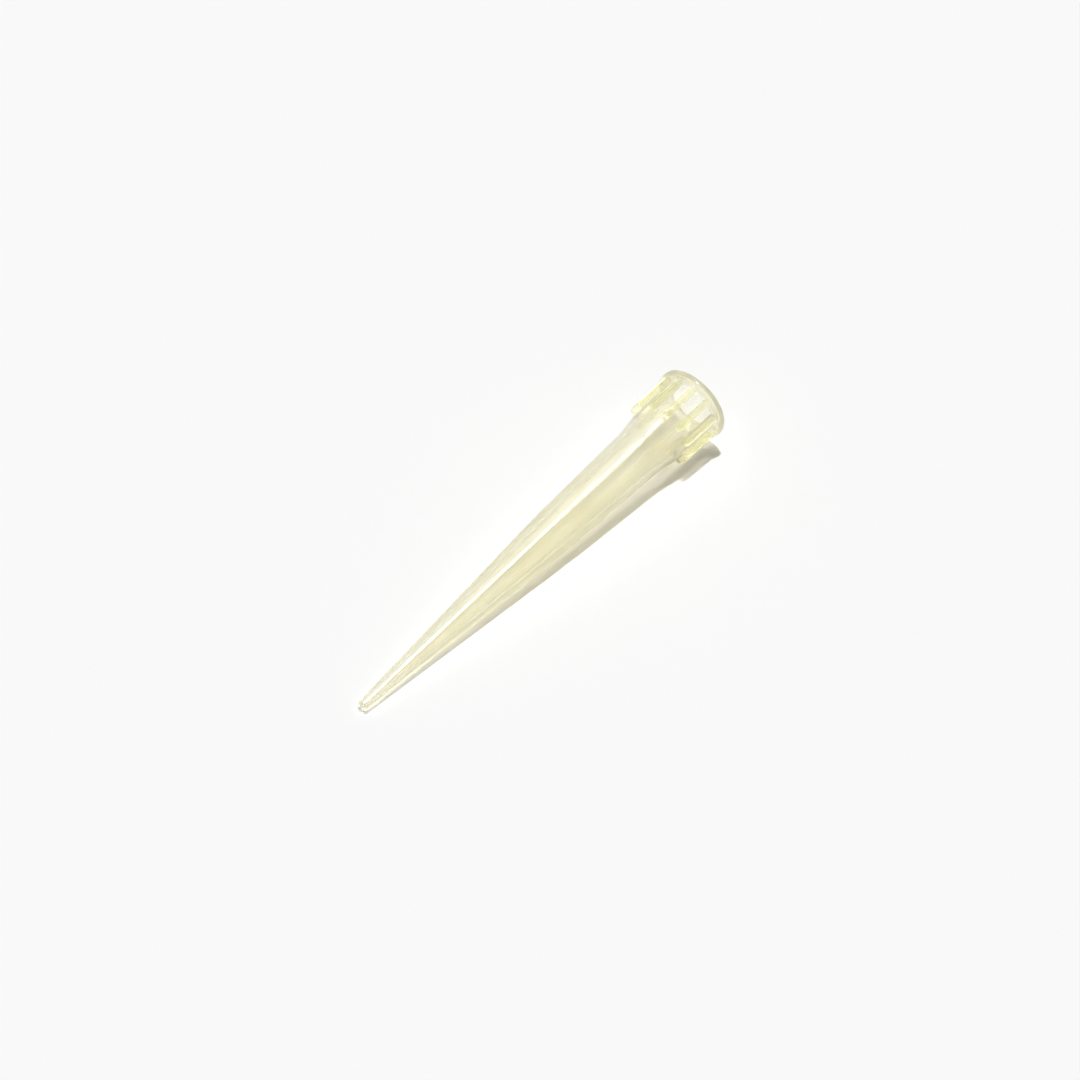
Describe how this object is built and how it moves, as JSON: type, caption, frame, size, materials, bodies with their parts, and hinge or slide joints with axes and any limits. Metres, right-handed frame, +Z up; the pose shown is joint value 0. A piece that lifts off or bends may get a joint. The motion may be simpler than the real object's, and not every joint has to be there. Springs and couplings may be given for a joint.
{
  "type": "pipette tip",
  "caption": "Slender conical pipette tip in translucent pale yellow polypropylene, with a ribbed collar, a rimmed mouth that grips a pipette nozzle, and a fine orifice.",
  "frame": {"origin": "on the surface the tip lies on, under the middle of its box", "axes": "+X from the point towards the mouth along the surface, +Z up; the tip's own axis rises from +X by its lie angle of 4.12 degrees"},
  "size_m": [0.0502, 0.0082, 0.0082],
  "materials": {
    "polypropylene": "moulded smooth, translucent pale yellow"
  },
  "bodies": {
    "root": {"pipette_tip": "polypropylene"}
  },
  "joints": []
}
